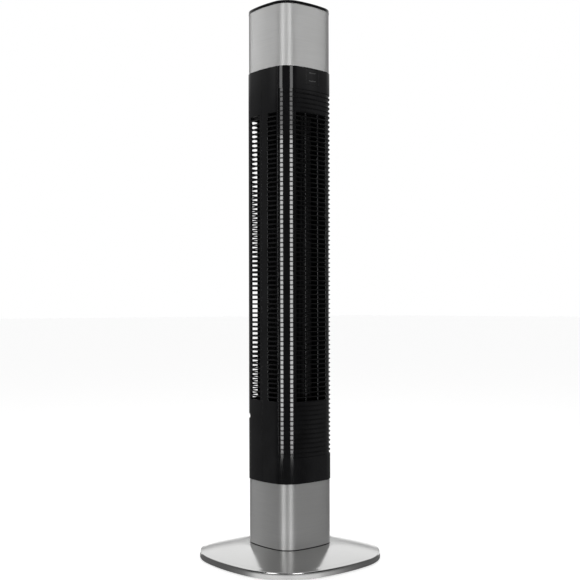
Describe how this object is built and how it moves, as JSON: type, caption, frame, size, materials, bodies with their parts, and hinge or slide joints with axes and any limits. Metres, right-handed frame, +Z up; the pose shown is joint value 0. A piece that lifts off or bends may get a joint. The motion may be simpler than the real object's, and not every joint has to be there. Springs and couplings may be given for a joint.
{
  "type": "tower fan",
  "caption": "Column fan with a ribbed, slotted black body between two brushed-steel bands, on a domed rounded-square base plate it swings on; cross-flow impeller and motor inside.",
  "frame": {"origin": "on the floor, under the middle of the base plate", "axes": "+Z up, front grille faces -Y, +X is the fan's right seen from the front (viewer's right)"},
  "size_m": [0.33, 0.3322, 1.08],
  "materials": {
    "brushed_steel": "fine horizontal brushing",
    "zinc_steel": "zinc plated",
    "black_satin": "satin moulded",
    "black_gloss": "polished",
    "dark_plastic": "moulded",
    "duct_plastic": "moulded",
    "impeller_plastic": "moulded, glass filled",
    "grey_plastic": "acetal",
    "white_plastic": "acetal",
    "ballast_steel": "blackened",
    "hub_metal": "die cast",
    "shaft_steel": "ground",
    "lamination": "oxidised laminations",
    "copper": "enamelled copper",
    "bronze": "sintered bronze",
    "rubber": "matt",
    "board": "circuit board laminate",
    "component": "sleeved components",
    "smoked": "smoked window",
    "light": "light bars",
    "switch": "switch cases"
  },
  "bodies": {
    "base": {"base_cover": "brushed_steel", "base_pan": "dark_plastic", "base_weight": "ballast_steel", "base_feet": "rubber", "base_bolts": "zinc_steel", "base_screws": "zinc_steel", "cord_gland": "rubber", "pivot_hub": "hub_metal", "slide_ring": "white_plastic", "fixed_gear": "grey_plastic"},
    "tower": {"swing_motor": "zinc_steel", "swivel_plate": "dark_plastic", "swivel_plate_screws": "zinc_steel", "lower_band": "brushed_steel", "lower_chassis": "dark_plastic", "front_grille": "black_satin", "side_panel_left": "black_satin", "side_panel_right": "black_satin", "rear_shell": "black_satin", "rear_screws": "zinc_steel", "lower_deck": "duct_plastic", "upper_deck": "duct_plastic", "scroll_wall": "duct_plastic", "vortex_wall": "duct_plastic", "bearing_rubber": "rubber", "top_bearing": "bronze", "motor_stator": "lamination", "motor_windings": "copper", "motor_brackets": "hub_metal", "motor_bearings": "bronze", "motor_bolts": "zinc_steel", "motor_mount_rubbers": "rubber", "motor_mount_screws": "zinc_steel", "upper_band": "brushed_steel", "upper_chassis": "dark_plastic", "power_board": "board", "board_transformer": "component", "board_capacitors": "component", "display_lens": "smoked", "control_boards": "board", "display_lights": "light", "top_cap": "black_satin", "panel_sheet": "black_gloss", "key_switches": "switch", "case_screws": "zinc_steel"},
    "impeller": {"impeller_drive_section": "impeller_plastic", "impeller_sections": "impeller_plastic", "impeller_hub": "rubber", "hub_set_screw": "zinc_steel", "impeller_end_cap": "impeller_plastic", "impeller_stub_shaft": "shaft_steel", "motor_rotor": "lamination", "motor_shaft": "shaft_steel"},
    "pinion": {"swing_pinion": "white_plastic"},
    "power_button": {"power_key": "black_satin"},
    "speed_button": {"speed_key": "black_satin"},
    "swing_button": {"swing_key": "black_satin"},
    "timer_button": {"timer_key": "black_satin"},
    "mode_button": {"mode_key": "black_satin"}
  },
  "joints": [
    {"name": "tower_swing", "type": "hinge", "parent": "base", "child": "tower", "pos_m": [0, 0, 0.0302], "axis": [0, 0, 1], "range_deg": [-37.5, 37.5]},
    {"name": "impeller_spin", "type": "hinge", "parent": "tower", "child": "impeller", "pos_m": [0, 0, 0.3], "axis": [0, 0, 1], "continuous": true},
    {"name": "pinion_spin", "type": "hinge", "parent": "tower", "child": "pinion", "pos_m": [0, 0.04, 0.0402], "axis": [0, 0, 1], "range_deg": [-112.6, 112.6]},
    {"name": "power_press", "type": "slide", "parent": "tower", "child": "power_button", "axis": [0, 0, -1], "range_m": [0, 0.001], "stiffness_N_per_m": 1000, "springref_m": -0.0004},
    {"name": "speed_press", "type": "slide", "parent": "tower", "child": "speed_button", "axis": [0, 0, -1], "range_m": [0, 0.001], "stiffness_N_per_m": 1000, "springref_m": -0.0004},
    {"name": "swing_press", "type": "slide", "parent": "tower", "child": "swing_button", "axis": [0, 0, -1], "range_m": [0, 0.001], "stiffness_N_per_m": 1000, "springref_m": -0.0004},
    {"name": "timer_press", "type": "slide", "parent": "tower", "child": "timer_button", "axis": [0, 0, -1], "range_m": [0, 0.001], "stiffness_N_per_m": 1000, "springref_m": -0.0004},
    {"name": "mode_press", "type": "slide", "parent": "tower", "child": "mode_button", "axis": [0, 0, -1], "range_m": [0, 0.001], "stiffness_N_per_m": 1000, "springref_m": -0.0004}
  ],
  "couplings": [
    {"joint": "pinion_spin", "follows": "tower_swing", "ratio": 3}
  ]
}
